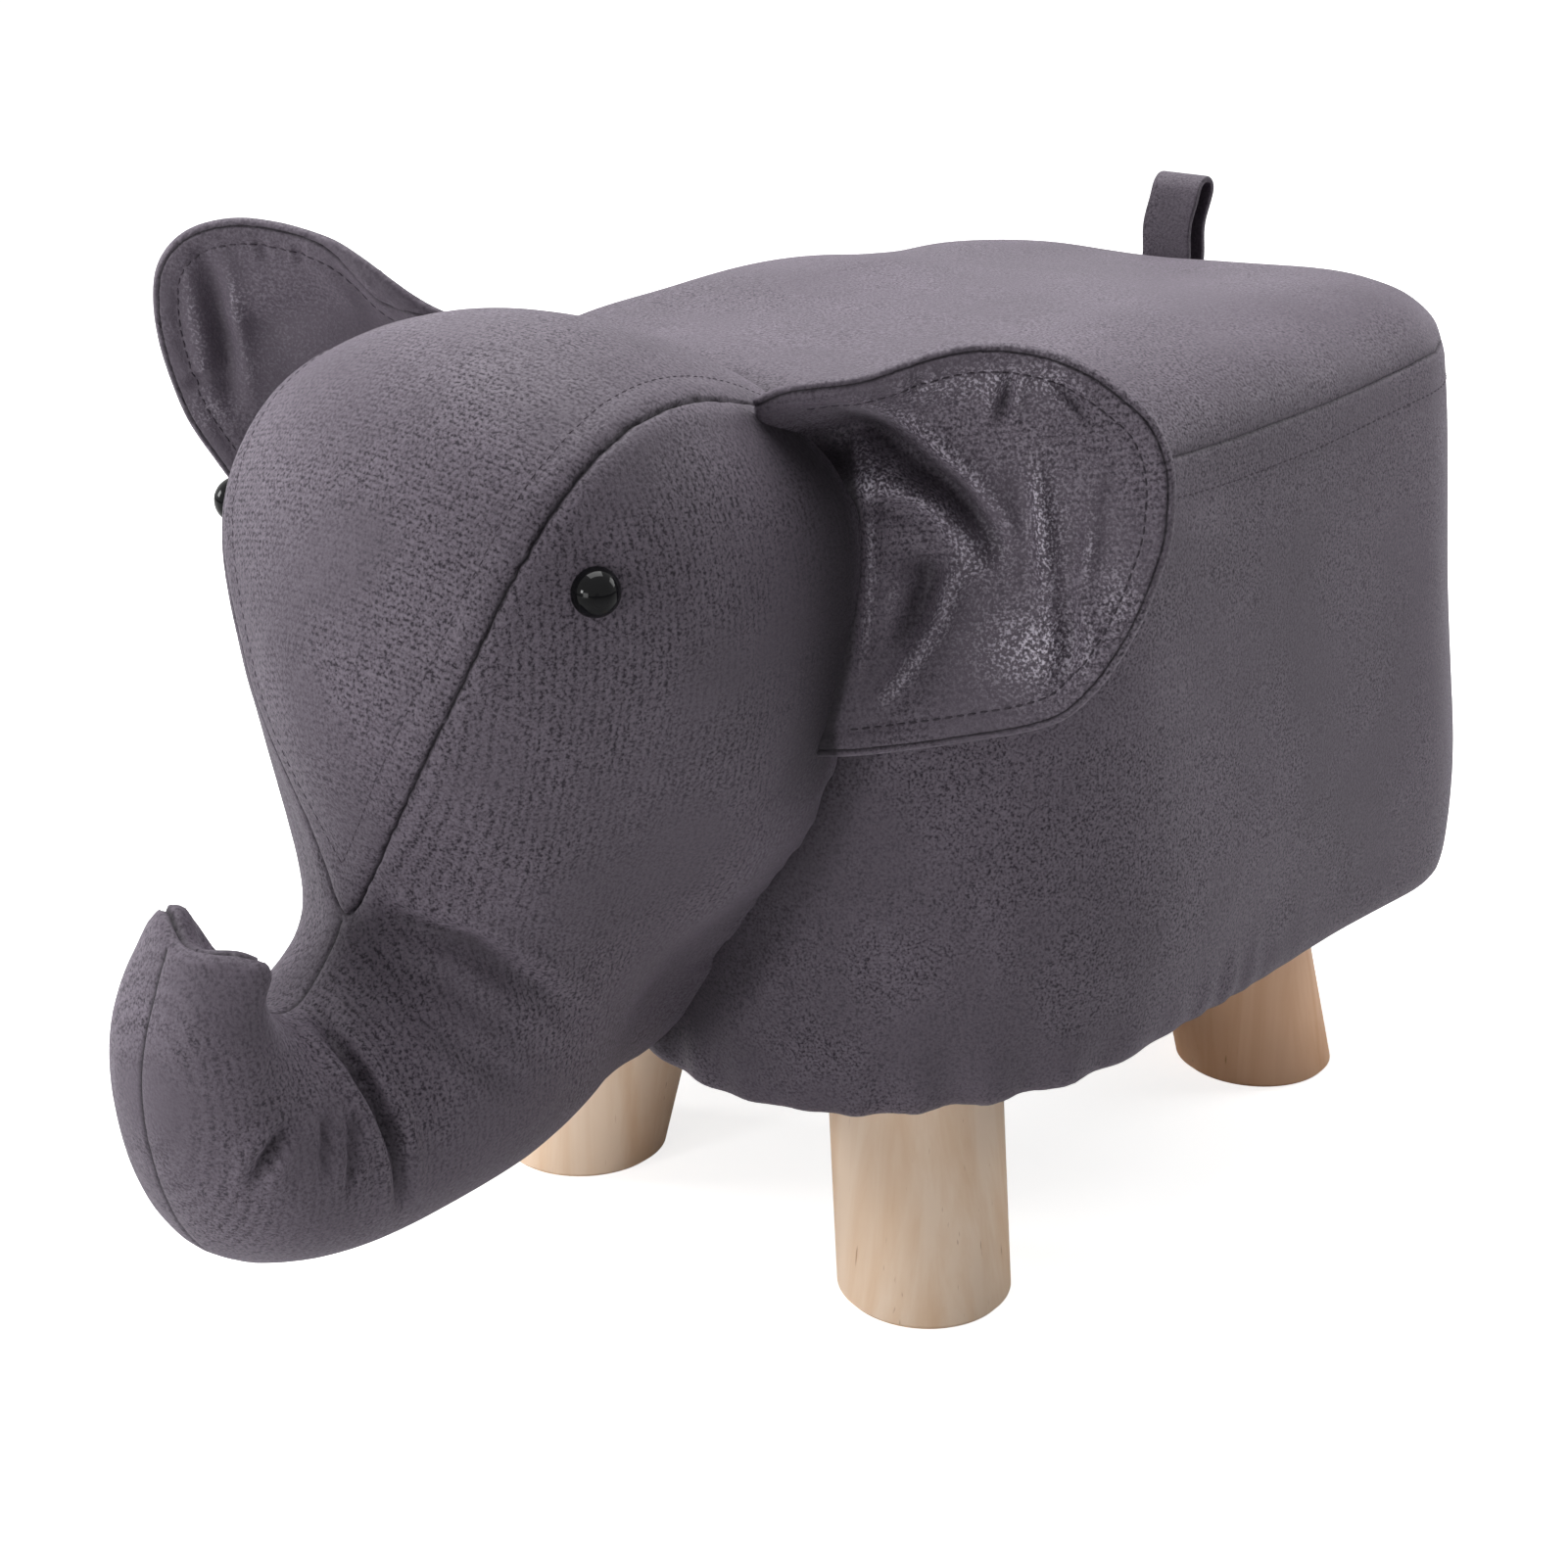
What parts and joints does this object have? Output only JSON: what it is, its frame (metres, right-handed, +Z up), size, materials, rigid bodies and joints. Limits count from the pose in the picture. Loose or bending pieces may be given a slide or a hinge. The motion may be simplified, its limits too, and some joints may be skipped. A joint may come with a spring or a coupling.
{
  "type": "upholstered animal footstool",
  "caption": "Low upholstered footstool shaped as an elephant, with a padded seat, stuffed head and trunk, flapping ears, a tail loop and splayed round wooden legs.",
  "frame": {"origin": "on the floor, under the middle of the whole stool's box", "axes": "+Z up, -Y the way the face looks, +X the animal's left side"},
  "size_m": [0.2834, 0.4744, 0.301],
  "materials": {
    "cover_fabric": "soft suede cloth, purple grey, fine ribs",
    "pine": "turned pale pine, matt clear finish",
    "plywood": "sanded plywood",
    "post_wood": "sawn softwood",
    "hardboard": "smooth hardboard",
    "steel": "zinc plated",
    "eye_black": "polished black",
    "eye_washer": "moulded",
    "foam": "open cell foam",
    "filling": "loose polyester fibre",
    "lining": "non-woven lining"
  },
  "bodies": {
    "stool": {"base_panel": "plywood", "dust_cover": "lining", "forehead_panel": "cover_fabric", "frame_post_front_left": "post_wood", "frame_post_front_right": "post_wood", "frame_post_rear_left": "post_wood", "frame_post_rear_right": "post_wood", "head_stuffing": "filling", "hem_staples": "steel", "left_cheek_panel": "cover_fabric", "left_ear_seam": "cover_fabric", "left_eye": "eye_black", "left_eye_washer": "eye_washer", "leg_front_left": "pine", "leg_front_right": "pine", "leg_hanger_bolts": "steel", "leg_rear_left": "pine", "leg_rear_right": "pine", "leg_tee_nuts": "steel", "panel_screws": "steel", "right_cheek_panel": "cover_fabric", "right_ear_seam": "cover_fabric", "right_eye": "eye_black", "right_eye_washer": "eye_washer", "seat_foam": "foam", "seat_top_panel": "cover_fabric", "seat_wadding": "filling", "side_band": "hardboard", "side_cover": "cover_fabric", "side_foam": "foam", "tail_seam": "cover_fabric", "top_panel": "plywood", "trunk_end_panel": "cover_fabric", "trunk_stuffing": "filling"},
    "left_ear": {"left_ear_front": "cover_fabric", "left_ear_back": "cover_fabric", "left_ear_wadding": "filling"},
    "right_ear": {"right_ear_front": "cover_fabric", "right_ear_back": "cover_fabric", "right_ear_wadding": "filling"},
    "tail": {"tail_loop": "cover_fabric"}
  },
  "joints": [
    {"name": "left_ear_flap", "type": "hinge", "parent": "stool", "child": "left_ear", "pos_m": [0.06767, -0.06143, 0.219], "axis": [-0.1607, 0, 0.987], "range_deg": [-70, 4], "stiffness_Nm_per_rad": 0.08},
    {"name": "right_ear_flap", "type": "hinge", "parent": "stool", "child": "right_ear", "pos_m": [-0.07182, -0.06143, 0.219], "axis": [0.1607, 0, 0.987], "range_deg": [-58, 12], "stiffness_Nm_per_rad": 0.08},
    {"name": "tail_swing", "type": "hinge", "parent": "stool", "child": "tail", "pos_m": [-0.01707, 0.22252, 0.25485], "axis": [1, 0, 0], "range_deg": [-45, 20], "stiffness_Nm_per_rad": 0.01}
  ]
}
